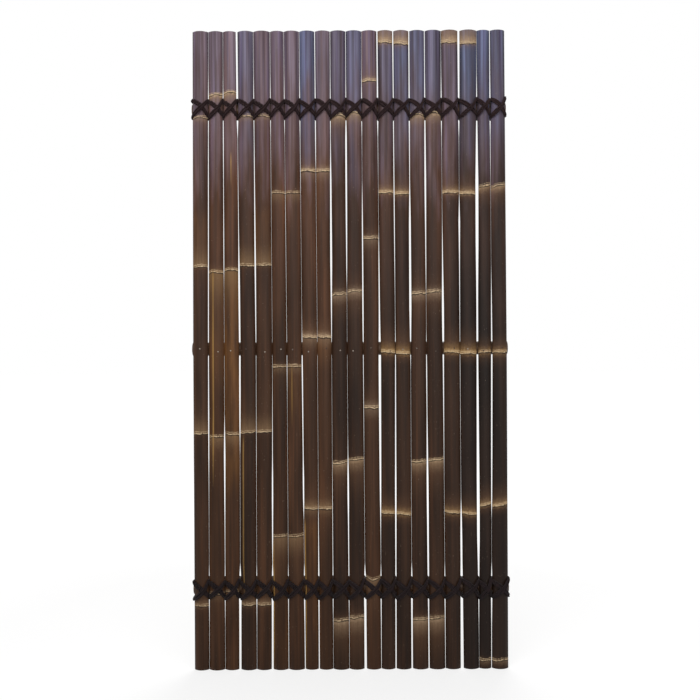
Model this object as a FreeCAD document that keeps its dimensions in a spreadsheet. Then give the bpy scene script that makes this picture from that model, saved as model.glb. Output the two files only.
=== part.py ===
import FreeCAD, Part
import Sketcher
import math
import os

# Driving sizes, in millimetres and degrees
SIZES = {
    "slat_length": 1800,
    "split_angle": 103,
    "wall": 6.5,
    "ridge_height": 7,
    "ridge_rise": 0.6,
    "ridge_trim": 4,
    "partition_setback": 1,
    "rail_diameter": 38,
    "rail_bore": 24,
    "rail_bore_depth": 170,
    "rail_overhang": 4,
    "top_rail_drop": 217,
    "bottom_rail_height": 226,
    "back_plane": 12.4,
    "seat_clearance": 0.2,
    "cord_width": 9,
    "cord_rise": 4,
    "cord_clearance": 0.5,
    "gap_cord_height": 4,
    "back_cord_spacing": 10,
}

# Heights of the nodes of each cane that the slats were split from, above the slats' feet
CANE_NODES = {
    "a": (183, 669, 1139, 1558),
    "b": (218, 660, 1122, 1623),
    "c": (377, 855, 1344),
    "d": (453, 937, 1406),
    "e": (141, 588, 1060, 1563),
    "f": (262, 737, 1215, 1659),
    "g": (439, 892, 1342, 1766),
    "h": (25, 461, 892, 1362),
}

# The slats from left to right as seen from the front: the cane that each was split from, and its
# width at the foot, halfway up and at the head
SLATS = (
    ("a", 40.5, 42, 44), ("b", 43, 43, 39), ("b", 38, 40.5, 35.5), ("a", 42.5, 42, 43.5),
    ("a", 40, 44.5, 45.5), ("c", 41.5, 40, 37), ("c", 43.5, 41, 42), ("d", 35.5, 41.5, 41.5),
    ("d", 37, 39, 41), ("e", 43.5, 42.5, 42), ("e", 41, 43.5, 42.5), ("f", 40, 42.5, 42),
    ("g", 38.5, 40.5, 42), ("g", 41.5, 40, 43), ("e", 43.5, 42, 41), ("e", 43.5, 44, 44),
    ("g", 42.5, 43.5, 47), ("g", 43, 45.5, 48), ("h", 32, 36, 34.5), ("h", 45.5, 40.5, 40.5),
)

# The gap after each slat but the last, at the slats' feet, halfway up and at their heads
GAPS = (
    (1.8, 2.4, 1.8), (1.8, 1.2, 1.8), (7, 5.6, 4.8), (2, 2, 1.8), (6.5, 1.2, 1.8),
    (2, 1.2, 1.8), (4, 2.6, 1.8), (4, 1, 2.8), (2, 1.5, 1.9), (2, 1.2, 2),
    (7.3, 2.5, 1.8), (1.8, 5.8, 3), (3.5, 2.2, 2.2), (4.8, 3.4, 2.9), (3.7, 2.2, 2.6),
    (1.8, 4.8, 1.8), (8, 2.5, 4.5), (1.8, 5, 1.8), (3.9, 4.2, 2.5),
)

# Where a slat's widths are given
LEVELS = ("foot", "waist", "head")

# A round skin is drawn in flats, and a lashing bends over a slat in three runs and round a rail in four
SKIN_FLATS = 6
INNER_FLATS = 3
SLAT_RUNS = 3
RAIL_BENDS = (-60, 0, 60)

UP = FreeCAD.Vector(0, 0, 1)
RIGHT = FreeCAD.Vector(1, 0, 0)
BACK = FreeCAD.Vector(0, 1, 0)


def fill_sheet(doc):
    """Write every driving size into a cell of the sheet, under its own name."""
    cells = dict(SIZES)
    for cane, heights in CANE_NODES.items():
        for number, height in enumerate(heights, 1):
            cells[f"cane_{cane}_node_{number}"] = height
    for number, (cane, *widths) in enumerate(SLATS, 1):
        cells.update({f"slat_{number:02d}_{level}": width for level, width in zip(LEVELS, widths)})
    for number, widths in enumerate(GAPS, 1):
        cells.update({f"gap_{number:02d}_{level}": width for level, width in zip(LEVELS, widths)})
    sheet = doc.addObject("Spreadsheet::Sheet", "Sizes")
    for row, (name, value) in enumerate(cells.items(), 1):
        sheet.set(f"A{row}", name)
        sheet.set(f"B{row}", str(value))
        sheet.setAlias(f"B{row}", name)
    doc.recompute()
    return sheet


def new_sketch(body, name, role, height=None, aside=0):
    """Start a sketch on one of the body's own planes, set aside or lifted to a height if asked."""
    sketch = body.newObject("Sketcher::SketchObject", name)
    plane = next(item for item in body.Origin.OriginFeatures if item.Role == role)
    sketch.AttachmentSupport = (plane, [""])
    sketch.MapMode = "FlatFace"
    sketch.AttachmentOffset = FreeCAD.Placement(FreeCAD.Vector(0, aside, 0), FreeCAD.Rotation())
    if height:
        sketch.setExpression("AttachmentOffset.Base.z", height)
    return sketch


def draw_outline(sketch, sheet, corners):
    """Draw a closed outline of straight lines, with both coordinates of each corner bound to the sheet.

    A coordinate of None puts its corner on the sketch's own axis.
    """
    places = []
    for corner in corners:
        across, up = [0.0 if where is None else float(sheet.evalExpression(where)) for where in corner]
        places.append(FreeCAD.Vector(across, up, 0))
    count = len(corners)
    for index in range(count):
        sketch.addGeometry(Part.LineSegment(places[index], places[(index + 1) % count]), False)
    start, end = 1, 2
    origin, level_axis, upright_axis = -1, -1, -2
    rules = []
    bound = []
    for index, corner in enumerate(corners):
        rules.append(Sketcher.Constraint("Coincident", index - 1 if index else count - 1, end, index, start))
        for kind, where, place, axis in zip(("DistanceX", "DistanceY"), corner, places[index],
                                            (upright_axis, level_axis)):
            if where is None:
                rules.append(Sketcher.Constraint("PointOnObject", index, start, axis))
            else:
                bound.append((len(rules), where))
                rules.append(Sketcher.Constraint(kind, origin, start, index, start, place))
    sketch.addConstraint(rules)
    for row, where in bound:
        sketch.setExpression(f"Constraints[{row}]", where)


def slat_name(number):
    return f"slat_{number:02d}"


def slat_nodes(sheet, cane):
    """Name the nodes of a cane that a slat is long enough to reach."""
    names = [f"cane_{cane}_node_{number}" for number in range(1, len(CANE_NODES[cane]) + 1)]
    return [name for name in names if getattr(sheet, name) + sheet.ridge_height < sheet.slat_length]


def arc_corners(radius, seat, angle, flats):
    """Give the corners of an arc drawn in flats, bulging along the sketch's first axis.

    The arc's centre lies behind the sketch's origin by its seat.
    """
    corners = []
    for step in range(flats + 1):
        turn = f"{angle} * ({2 * step - flats}) / {2 * flats} * 1 deg"
        across = None if 2 * step == flats else f"({radius}) * sin({turn})"
        corners.append((f"({radius}) * cos({turn}) - ({seat})", across))
    return corners


def wall_outline(width):
    """Outline a slat's wall at a width: its skin, its split faces and its hollow, its back on the origin."""
    half = "Sizes.split_angle / 2 * 1 deg"
    outer = f"({width}) / (2 * sin({half}))"
    inner = f"{outer} - Sizes.wall"
    seat = f"({inner}) * cos({half})"
    skin = arc_corners(outer, seat, "Sizes.split_angle", SKIN_FLATS)
    hollow = arc_corners(inner, seat, "Sizes.split_angle", INNER_FLATS)[::-1]
    hollow[0] = (None, hollow[0][1])
    hollow[-1] = (None, hollow[-1][1])
    return skin + hollow


def node_outline(width):
    """Outline a node: a ridge round the skin, trimmed short of the split faces, and a partition behind."""
    half = "Sizes.split_angle / 2 * 1 deg"
    trimmed = "(Sizes.split_angle - Sizes.ridge_trim)"
    outer = f"({width}) / (2 * sin({half}))"
    seat = f"({outer} - Sizes.wall) * cos({half})"
    ridge = arc_corners(f"{outer} + Sizes.ridge_rise", seat, trimmed, SKIN_FLATS)
    reach = f"({seat} + Sizes.partition_setback) * tan({trimmed} / 2 * 1 deg)"
    return ridge + [("Sizes.partition_setback", reach), ("Sizes.partition_setback", f"-({reach})")]


def between(sheet, values, height):
    """Read a slat's value at a height from its values at the foot, halfway up and at the head."""
    half = sheet.slat_length / 2
    low = int(height > half)
    return values[low] + (values[low + 1] - values[low]) * (height / half - low)


def slat_widths(sheet, number):
    return [getattr(sheet, f"{slat_name(number)}_{level}") for level in LEVELS]


def slat_rows(sheet):
    """Lay the slats side by side and give each one's middle at its foot, halfway up and at its head."""
    rows = []
    for level in LEVELS:
        edge = 0.0
        middles = []
        for number in range(1, len(SLATS) + 1):
            width = getattr(sheet, f"{slat_name(number)}_{level}")
            middles.append(edge + width / 2)
            edge += width
            if number <= len(GAPS):
                edge += getattr(sheet, f"gap_{number:02d}_{level}")
        rows.append([middle - edge / 2 for middle in middles])
    return list(zip(*rows))


def make_slat(doc, sheet, number, cane, middles):
    """Split a slat from its cane: a wall that bends a little, with a ridge and partition at each node.

    The slat's skin is turned to the front, and its back lies on the back plane.
    """
    name = slat_name(number)
    body = doc.addObject("PartDesign::Body", name)
    foot = middles[0]
    sections = []
    for step, (level, middle) in enumerate(zip(LEVELS, middles)):
        height = f"Sizes.slat_length * {step} / 2"
        sketch = new_sketch(body, f"{name}_{level}", "XY_Plane", height, middle - foot)
        draw_outline(sketch, sheet, wall_outline(f"Sizes.{name}_{level}"))
        sections.append(sketch)
    wall = body.newObject("PartDesign::AdditiveLoft", name + "_wall")
    wall.Profile = sections[0]
    wall.Sections = sections[1:]
    wall.Ruled = True
    for node in slat_nodes(sheet, cane):
        height = getattr(sheet, node)
        low = int(height > sheet.slat_length / 2)
        below, above = [f"Sizes.{name}_{level}" for level in LEVELS[low:low + 2]]
        width = f"{below} + ({above} - {below}) * (2 * Sizes.{node} / Sizes.slat_length - {low})"
        sketch = new_sketch(body, f"{name}_{node}", "XY_Plane", f"Sizes.{node} - Sizes.ridge_height / 2",
                            between(sheet, middles, height) - foot)
        draw_outline(sketch, sheet, node_outline(width))
        ridge = body.newObject("PartDesign::Pad", f"{name}_{node}_ridge")
        ridge.Profile = sketch
        ridge.setExpression("Length", "Sizes.ridge_height")
    body.Placement = FreeCAD.Placement(FreeCAD.Vector(foot, -sheet.back_plane, 0), FreeCAD.Rotation(UP, -90))
    return body


def rail_axis(sheet):
    """Give the depth of the rails' axes, for rails that lie on the slats' backs."""
    return sheet.rail_diameter / 2 + sheet.seat_clearance - sheet.back_plane


def make_rail(doc, sheet, name, edges, height):
    """Turn a round cane, hollow at both ends as far as its first nodes, and lay it across the slats."""
    body = doc.addObject("PartDesign::Body", name)
    sketch = new_sketch(body, name + "_outline", "XZ_Plane")
    length = f"{edges[-1][1] - edges[0][0]} + 2 * Sizes.rail_overhang"
    skin = "Sizes.rail_diameter / 2"
    bore = "Sizes.rail_bore / 2"
    depth = "Sizes.rail_bore_depth"
    draw_outline(sketch, sheet, [
        (skin, None), (skin, length), (bore, length), (bore, f"{length} - {depth}"),
        (None, f"{length} - {depth}"), (None, depth), (bore, depth), (bore, None),
    ])
    turn = body.newObject("PartDesign::Revolution", name + "_turn")
    turn.Profile = sketch
    turn.ReferenceAxis = (sketch, ["V_Axis"])
    start = FreeCAD.Vector(edges[0][0] - sheet.rail_overhang, rail_axis(sheet), height)
    body.Placement = FreeCAD.Placement(start, FreeCAD.Rotation(BACK, 90))
    return body


def slat_edges(sheet, rows, height):
    """Give the left and right edge of every slat at a height."""
    edges = []
    for number, middles in enumerate(rows, 1):
        middle = between(sheet, middles, height)
        half = between(sheet, slat_widths(sheet, number), height) / 2
        edges.append((middle - half, middle + half))
    return edges


def station(point, outward, along, width, rise):
    """Give the three corners of the cord's section: two beside its route and one on its crown."""
    along = along - outward * along.dot(outward)
    side = along.cross(outward).normalize()
    return (point - side * (width / 2), point + side * (width / 2), point + outward * rise)


def slat_crossing(sheet, edges, levels, way, raised, squeeze):
    """Route the cord over one slat, down from its level at one edge to its level at the other."""
    half = math.radians(sheet.split_angle / 2)
    radius = (edges[1] - edges[0]) / (2 * math.sin(half))
    seat = (radius - sheet.wall) * math.cos(half)
    lift = sheet.ridge_rise + 3 * sheet.cord_clearance
    turn = 2 * half / SLAT_RUNS
    reach = radius * math.sin(half) + sheet.cord_clearance
    front = -radius * math.cos(half) - 2 * sheet.cord_clearance
    middle = FreeCAD.Vector((edges[0] + edges[1]) / 2, seat - sheet.back_plane, 0)
    drop = levels[1] - levels[0]
    upright_width = sheet.cord_width * math.hypot(drop, edges[1] - edges[0]) / (edges[1] - edges[0])
    first, last = [
        station(middle + FreeCAD.Vector(side * reach, front, level), RIGHT * side, BACK * heading,
                sheet.gap_cord_height, room)
        for side, level, heading, room in zip((-way, way), levels, (-1, 1), squeeze)
    ]
    bends = []
    for side in (-way, way):
        outward = FreeCAD.Vector(math.sin(side * turn / 2), -math.cos(turn / 2), 0)
        share = (half + side * way * turn / 2) / (2 * half)
        arm = (radius + lift + raised) / math.cos(turn / 2)
        point = middle + UP * (levels[0] + drop * share) + outward * arm
        bends.append(station(point, outward, RIGHT * way, upright_width, sheet.cord_rise))
    return [first, *bends, last]


def rail_turn(sheet, below, above, raised):
    """Route the cord round the back of a rail, from its place below the rail to its place above."""
    bend = math.radians(RAIL_BENDS[1] - RAIL_BENDS[0])
    arm = (sheet.rail_diameter / 2 + sheet.cord_clearance + raised) / math.cos(bend / 2)
    turns = []
    for step, degrees in enumerate(RAIL_BENDS):
        angle = math.radians(degrees)
        outward = FreeCAD.Vector(0, math.cos(angle), math.sin(angle))
        upward = FreeCAD.Vector(0, -math.sin(angle), math.cos(angle))
        across = below + (above - below) * step / (len(RAIL_BENDS) - 1)
        point = FreeCAD.Vector(across, rail_axis(sheet), 0) + outward * arm
        turns.append(station(point, outward, upward, sheet.cord_width, sheet.cord_rise))
    return turns


def lashing_route(sheet, edges):
    """Route a lashing along its rail and back over itself, so that it crosses every slat both ways."""
    gaps = [right[0] - left[1] for left, right in zip(edges, edges[1:])]
    places = [left[1] + gap / 2 for left, gap in zip(edges, gaps)]
    squeezed = [min(sheet.cord_rise, gap - 2 * sheet.cord_clearance) for gap in gaps]
    squeeze = [sheet.cord_rise, *squeezed, sheet.cord_rise]
    near = (sheet.rail_diameter + sheet.gap_cord_height) / 2 + sheet.cord_clearance
    far = near + sheet.gap_cord_height + sheet.cord_clearance
    offset = sheet.back_cord_spacing / 2
    raised = sheet.cord_rise + sheet.cord_clearance
    left_end = edges[0][0] + offset
    right_end = edges[-1][1] - offset
    out = [rail_turn(sheet, place - offset, place + offset, 0) for place in places]
    out.append(rail_turn(sheet, right_end, right_end, 0))
    back = [rail_turn(sheet, place + offset, place - offset, raised) for place in places]
    back.insert(0, rail_turn(sheet, left_end, left_end, 0))
    route = []
    for index, slat in enumerate(edges):
        rooms = (squeeze[index], squeeze[index + 1])
        route += slat_crossing(sheet, slat, (near, -near), 1, 0, rooms) + out[index]
    for index, slat in reversed(list(enumerate(edges))):
        rooms = (squeeze[index + 1], squeeze[index])
        route += slat_crossing(sheet, slat, (far, -far), -1, raised, rooms) + back[index]
    return route


def fold(corners, core):
    """Fold a twisted side of the cord along the diagonal that lies farther from the cord's core."""
    first, second, third, fourth = corners
    if first.add(third).sub(core * 2).Length > second.add(fourth).sub(core * 2).Length:
        return (first, second, third), (first, third, fourth)
    return (second, third, fourth), (second, fourth, first)


def make_lashing(doc, sheet, name, edges, height):
    """Skin the closed route of a lashing with flat faces."""
    route = lashing_route(sheet, edges)
    faces = []
    for index, section in enumerate(route):
        before = route[index - 1]
        core = FreeCAD.Vector()
        for corner in (*before, *section):
            core += corner / (2 * len(section))
        for corner in range(len(section)):
            other = (corner + 1) % len(section)
            side = (before[corner], before[other], section[other], section[corner])
            for triangle in fold(side, core):
                faces.append(Part.Face(Part.makePolygon([*triangle, triangle[0]])))
    shell = Part.makeShell(faces)
    shell.sewShape()
    cord = Part.makeSolid(shell)
    if cord.Volume < 0:
        cord = Part.makeSolid(shell.reversed())
    lashing = doc.addObject("Part::Feature", name)
    lashing.Shape = cord
    lashing.Placement = FreeCAD.Placement(UP * height, FreeCAD.Rotation())
    return lashing


def check(doc, parts):
    """Stop if anything in the document failed, or a sub-part isn't one sound solid."""
    for item in doc.Objects:
        if "Invalid" in item.State or "Error" in item.State:
            raise RuntimeError(f"{item.Label} failed: {item.State}")
    for part in parts:
        shape = part.Shape
        if shape.isNull() or not shape.isValid() or len(shape.Solids) != 1 or shape.Volume <= 0:
            raise RuntimeError(f"{part.Label} is not one sound solid")


def main():
    doc = FreeCAD.newDocument("FencePanel")
    sheet = fill_sheet(doc)
    rows = slat_rows(sheet)
    parts = []
    for number, middles in enumerate(rows, 1):
        parts.append(make_slat(doc, sheet, number, SLATS[number - 1][0], middles))

    low = sheet.bottom_rail_height
    high = sheet.slat_length - sheet.top_rail_drop
    for name, height in (("bottom", low), ("middle", (low + high) / 2), ("top", high)):
        edges = slat_edges(sheet, rows, height)
        parts.append(make_rail(doc, sheet, name + "_rail", edges, height))
        if name != "middle":
            parts.append(make_lashing(doc, sheet, name + "_lashing", edges, height))

    doc.recompute()
    check(doc, parts)
    os.makedirs("parts", exist_ok=True)
    for part in parts:
        part.Shape.exportStep(f"parts/{part.Label}.step")
        print(part.Label, round(part.Shape.Volume / 1000, 1), "cm3")


main()
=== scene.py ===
import bpy
import bmesh
import functools
import math
from mathutils import Matrix, Vector


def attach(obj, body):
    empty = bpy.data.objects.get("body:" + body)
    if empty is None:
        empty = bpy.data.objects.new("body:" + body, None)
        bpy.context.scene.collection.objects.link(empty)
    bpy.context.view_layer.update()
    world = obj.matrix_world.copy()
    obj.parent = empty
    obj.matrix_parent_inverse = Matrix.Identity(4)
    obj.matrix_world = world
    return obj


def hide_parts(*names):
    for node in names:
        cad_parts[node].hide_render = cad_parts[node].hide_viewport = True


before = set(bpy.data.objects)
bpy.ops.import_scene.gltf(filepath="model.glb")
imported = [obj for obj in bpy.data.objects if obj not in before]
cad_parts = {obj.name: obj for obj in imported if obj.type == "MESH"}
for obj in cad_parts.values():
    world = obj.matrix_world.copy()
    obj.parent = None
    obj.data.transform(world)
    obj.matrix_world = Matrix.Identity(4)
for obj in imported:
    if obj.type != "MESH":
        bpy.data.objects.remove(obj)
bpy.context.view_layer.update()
print("frame loaded:", len(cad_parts), "nodes")

mm = 0.001

# the panel as measured, in mm; canes have the heights of their nodes, slats run from left to right
# with their cane and widths, and widths and gaps are given at foot, halfway up and head
panel = {
    "length": 1800, "splitAngle": 103, "wall": 6.5, "backPlane": 12.4,
    "railDiameter": 38, "railBore": 24, "boreDepth": 170, "railOverhang": 4, "seatClearance": 0.2,
    "rails": {"bottom": 226, "middle": 904.5, "top": 1583},
    "canes": {
        "a": (183, 669, 1139, 1558), "b": (218, 660, 1122, 1623),
        "c": (377, 855, 1344), "d": (453, 937, 1406),
        "e": (141, 588, 1060, 1563), "f": (262, 737, 1215, 1659),
        "g": (439, 892, 1342, 1766), "h": (25, 461, 892, 1362),
    },
    "slats": (
        ("a", 40.5, 42, 44), ("b", 43, 43, 39), ("b", 38, 40.5, 35.5), ("a", 42.5, 42, 43.5),
        ("a", 40, 44.5, 45.5), ("c", 41.5, 40, 37), ("c", 43.5, 41, 42), ("d", 35.5, 41.5, 41.5),
        ("d", 37, 39, 41), ("e", 43.5, 42.5, 42), ("e", 41, 43.5, 42.5), ("f", 40, 42.5, 42),
        ("g", 38.5, 40.5, 42), ("g", 41.5, 40, 43), ("e", 43.5, 42, 41), ("e", 43.5, 44, 44),
        ("g", 42.5, 43.5, 47), ("g", 43, 45.5, 48), ("h", 32, 36, 34.5), ("h", 45.5, 40.5, 40.5),
    ),
    "gaps": (
        (1.8, 2.4, 1.8), (1.8, 1.2, 1.8), (7, 5.6, 4.8), (2, 2, 1.8), (6.5, 1.2, 1.8),
        (2, 1.2, 1.8), (4, 2.6, 1.8), (4, 1, 2.8), (2, 1.5, 1.9), (2, 1.2, 2),
        (7.3, 2.5, 1.8), (1.8, 5.8, 3), (3.5, 2.2, 2.2), (4.8, 3.4, 2.9), (3.7, 2.2, 2.6),
        (1.8, 4.8, 1.8), (8, 2.5, 4.5), (1.8, 5, 1.8), (3.9, 4.2, 2.5),
    ),
}
halfSplit = math.radians(panel["splitAngle"] / 2)
railDepth = panel["railDiameter"] / 2 + panel["seatClearance"] - panel["backPlane"]    # y of the rails' axes
slatCount = len(panel["slats"])


def linear(hexColour):
    # sRGB hex to linear
    parts = [int(hexColour[i:i + 2], 16) / 255 for i in (1, 3, 5)]
    return [p / 12.92 if p <= 0.04045 else ((p + 0.055) / 1.055) ** 2.4 for p in parts] + [1]


def feed(socket, value):
    # a node stands for its first live output: that or a socket is linked, anything else is set
    if isinstance(value, bpy.types.Node):
        value = next(item for item in value.outputs if item.enabled)
    if isinstance(value, bpy.types.NodeSocket):
        socket.id_data.links.new(value, socket)
    else:
        socket.default_value = linear(value) if isinstance(value, str) else value


def addNode(tree, kind, *values, stops=(), **settings):
    # a shader node with its settings; the values feed its live inputs in turn, stops colour a ramp
    node = tree.nodes.new("ShaderNode" + kind)
    for name, value in settings.items():
        setattr(node, name, value)
    for socket, value in zip([item for item in node.inputs if item.enabled], values):
        feed(socket, value)
    if stops:
        elements = node.color_ramp.elements
        while len(elements) < len(stops):
            elements.new(0.5)
        for element, (place, colour) in zip(elements, stops):
            element.position = place
            element.color = linear(colour)
    return node


def newMaterial(name):
    # a material, its shader and the function that adds nodes to it
    material = bpy.data.materials.new(name)
    material.use_nodes = True
    tree = material.node_tree
    return material, tree.nodes["Principled BSDF"], functools.partial(addNode, tree)


def dress(add, shader, inputs, relief, strength, depth):
    # the shader's own inputs, and its relief in m
    bump = add("Bump", strength, depth)
    feed(bump.inputs["Height"], relief)
    for name, value in {**inputs, "Normal": bump}.items():
        feed(shader.inputs[name], value)


def deselectAll():
    if bpy.context.object and bpy.context.object.mode != "OBJECT":
        bpy.ops.object.mode_set(mode="OBJECT")
    bpy.ops.object.select_all(action="DESELECT")


def pickVerts(test):
    # select by place in edit mode
    mesh = bpy.context.edit_object.data
    bm = bmesh.from_edit_mesh(mesh)
    for vert in bm.verts:
        vert.select = bool(test(vert.co))
    bm.select_flush_mode()
    bm.select_flush(True)
    bmesh.update_edit_mesh(mesh)


def pickFaces(test):
    mesh = bpy.context.edit_object.data
    bm = bmesh.from_edit_mesh(mesh)
    for face in bm.faces:
        face.select_set(False)
    for face in bm.faces:
        if test(face.calc_center_median(), face.normal):
            face.select_set(True)
    bmesh.update_edit_mesh(mesh)


def applyModifier(piece, kind, **settings):
    modifier = piece.modifiers.new(kind.title(), kind)
    for name, value in settings.items():
        setattr(modifier, name, value)
    bpy.context.view_layer.objects.active = piece
    bpy.ops.object.modifier_apply(modifier=modifier.name)


def settle(piece, place):
    # put a finished mesh where it goes, and leave its object at the origin
    deselectAll()
    piece.select_set(True)
    bpy.context.view_layer.objects.active = piece
    piece.matrix_world = place
    bpy.ops.object.transform_apply(location=True, rotation=True, scale=True)


# where the slats stand
def between(values, height):
    half = panel["length"] / 2
    low = int(height > half)
    return values[low] + (values[low + 1] - values[low]) * (height / half - low)


def slatRows():
    rows = []
    for level in range(3):
        edge = 0.0
        middles = []
        for index, slat in enumerate(panel["slats"]):
            width = slat[1 + level]
            middles.append(edge + width / 2)
            edge += width + (panel["gaps"][index][level] if index < len(panel["gaps"]) else 0)
        rows.append([middle - edge / 2 for middle in middles])
    return list(zip(*rows))


slatMiddles = slatRows()


def slatRadius(width):
    return width / (2 * math.sin(halfSplit))


def slatSpan(index, height):
    # left edge, right edge at a height, mm
    middle = between(slatMiddles[index], height)
    width = between(panel["slats"][index][1:], height)
    return middle - width / 2, middle + width / 2


# camera as the photograph was taken: level with the middle, a touch of roll
view = {"distance": 2.33, "height": 0.9, "lens": 42.1, "roll": 0.3, "side": 0.0}
cameraData = bpy.data.cameras.new("photoCamera")
cameraData.lens = view["lens"]
camera = bpy.data.objects.new("photoCamera", cameraData)
bpy.context.scene.collection.objects.link(camera)
camera.location = (view["side"], -view["distance"], view["height"])
camera.rotation_euler = (math.pi / 2, math.radians(view["roll"]), 0)
bpy.context.scene.camera = camera


def streaks(add, across, along, detail=3, seed=(0, 0, 0)):
    # noise drawn out along the cane: size across and along in mm
    place = add("TexCoord").outputs["Object"]
    scaled = add("Mapping", place, seed, (0, 0, 0), (1000 / across, 1000 / across, 1000 / along))
    return add("TexNoise", scaled, 1, detail)


# smoked bamboo skin: brown-black below, towards the heads a blue-violet that is partly waxy bloom and partly
# painted sky reflection, pale rings at the nodes
def stainedSkin():
    material, shader, add = newMaterial("stainedBambooSkin")

    def marks(name):
        # what a colour layer of the slat holds in red, green and blue
        parts = add("SeparateColor", add("Attribute", attribute_name=name))
        return parts.outputs["Red"], parts.outputs["Green"], parts.outputs["Blue"]

    height = add("SeparateXYZ", add("TexCoord").outputs["Object"]).outputs["Z"]
    skinMap = add("SeparateXYZ", add("UVMap", uv_map="skinMap"))
    around, fromNode = skinMap.outputs["X"], skinMap.outputs["Y"]
    warm, light, bloomAndSheen = marks("slatTone")
    glowAbove, glowBelow, gold = marks("nodeLook")
    forceAbove, forceBelow, ringForce = marks("nodeForce")
    honeyLow, honeyHigh, honeyForce = marks("honeyPatch")
    lineAt, lineForce, lineLow = marks("scrapeLine")
    lineHigh = add("Attribute", attribute_name="scrapeLine").outputs["Alpha"]

    fine = streaks(add, 1.8, 260)
    broad = streaks(add, 9, 520, 3, (3, 1, 0))
    cloud = streaks(add, 26, 160, 3, (7, 2, 4))
    drift = streaks(add, 34, 330, 2, (1, 5, 7))

    # height: brown-black below, lighter brown from halfway up as painted light from above, towards the heads
    # a blue-violet bloom that is partly painted sky reflection (sheen)
    lower = add("Mix", warm, "#201611", "#3a2517", data_type="RGBA")
    middle = add("Mix", warm, "#382720", "#452c1e", data_type="RGBA")
    level = add("Math", height, add("MapRange", cloud, 0.3, 0.7, -0.1, 0.1), operation="ADD")
    # the blue-violet towards the heads: partly waxy bloom, partly painted sky reflection
    blueness = add("Math", bloomAndSheen, add("MapRange", level, 1.36, 1.7, 0.2, 1), operation="MULTIPLY")
    upper = add("Mix", blueness, "#765f60", "#5a617c", data_type="RGBA")
    # lower to middle brown: painted light from above
    colour = add("Mix", add("MapRange", level, 0.95, 1.38), lower, middle, data_type="RGBA")
    sheenAndBloomShare = add("MapRange", level, 1.32, 1.74)
    streaked = add("Math", sheenAndBloomShare, add("MapRange", broad, 0.32, 0.68, 0.55, 1.15), operation="MULTIPLY")
    colour = add("Mix", streaked, colour, upper, data_type="RGBA")
    # violet streaks of the painted sky reflection
    violetStreak = add("MapRange", streaks(add, 9, 600, 2, (1, 9, 2)), 0.5, 0.7, 0, 0.42)
    violet = add("Math", sheenAndBloomShare, violetStreak, operation="MULTIPLY")
    colour = add("Mix", violet, colour, "#51466b", data_type="RGBA")
    russetStreak = add("MapRange", streaks(add, 9, 420, 2, (5, 4, 9)), 0.5, 0.72, 0, 0.38)
    russet = add("Math", russetStreak, warm, operation="MULTIPLY")
    colour = add("Mix", russet, colour, "#55341f", data_type="RGBA")

    def stretchShare(low, high):
        # 1 between two heights, each stored as a share of 2 m
        above = add("Math", height, add("Math", low, 2, operation="MULTIPLY"), operation="SUBTRACT")
        below = add("Math", add("Math", high, 2, operation="MULTIPLY"), height, operation="SUBTRACT")
        fromLow, toHigh = add("MapRange", above, -0.02, 0.08), add("MapRange", below, -0.01, 0.02)
        return add("Math", fromLow, toHigh, operation="MULTIPLY")

    inPatch = add("Math", stretchShare(honeyLow, honeyHigh), honeyForce, operation="MULTIPLY")
    inPatch = add("Math", inPatch, add("MapRange", cloud, 0.36, 0.62, 0.1, 1), operation="MULTIPLY")
    colour = add("Mix", inPatch, colour, "#654322", data_type="RGBA")

    # light and dark streaks along the fibres, paler at the split edges as painted side light but not towards
    # the heads, where the edges get painted shade
    edge = add("Math", around, operation="ABSOLUTE")
    driftFade = add("MapRange", height, 1.3, 1.7, 1, 0.45)
    drifting = add("Math", add("MapRange", drift, 0.32, 0.68, -0.4, 0.42), driftFade, operation="MULTIPLY")
    # towards the heads: streaks in the painted sheen, and painted shade on the curved edges
    headStreak = add("MapRange", streaks(add, 7, 700, 2, (4, 9, 6)), 0.3, 0.7, -0.26, 0.26)
    headStreak = add("Math", sheenAndBloomShare, headStreak, operation="MULTIPLY")
    headEdgeShade = add("Math", sheenAndBloomShare, add("MapRange", edge, 0.5, 1, 0, -0.58), operation="MULTIPLY")
    heads = add("Math", headStreak, headEdgeShade, operation="ADD")
    factors = (
        add("MapRange", broad, 0.25, 0.75, 0.7, 1.3), add("Math", 1, drifting, operation="ADD"),
        # per-slat lightness, then the split edges made paler: painted light
        add("MapRange", light, 0, 1, 0.74, 1.3), add("MapRange", edge, 0.4, 0.95, 0.98, 1.16),
        add("Math", 1, heads, operation="ADD"),
    )
    value = add("MapRange", fine, 0.25, 0.75, 0.84, 1.16)
    for factor in factors:
        value = add("Math", value, factor, operation="MULTIPLY")
    grey = add("CombineColor", value, value, value)
    colour = add("Mix", 1, colour, grey, data_type="RGBA", blend_type="MULTIPLY")

    # nodes: a tan flush above and below the ring, each with its own reach, then the pale ring with its double
    ragged = add("MapRange", streaks(add, 5, 5, 4, (2, 6, 1)), 0.25, 0.75, -4, 4)
    ragged = add("Math", fromNode, ragged, operation="ADD")

    def flushShare(side, reach, strength):
        # strongest at the node, gone at its reach, which is stored as a share of 100 mm
        away = add("Math", ragged, side, operation="MULTIPLY")
        away = add("Math", away, add("Math", reach, 100, operation="MULTIPLY"), operation="DIVIDE")
        fade = add("Math", add("Math", 1, away, operation="SUBTRACT"), 0, operation="MAXIMUM")
        fade = add("Math", fade, 1.7, operation="POWER")
        share = add("Math", add("MapRange", away, -0.05, 0.04), fade, operation="MULTIPLY")
        return add("Math", share, strength, operation="MULTIPLY")

    def bothSides(widen):
        above, below = [add("Math", reach, widen, operation="MULTIPLY") for reach in (glowAbove, glowBelow)]
        above, below = flushShare(1, above, forceAbove), flushShare(-1, below, forceBelow)
        return add("Math", above, below, operation="MAXIMUM")

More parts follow.
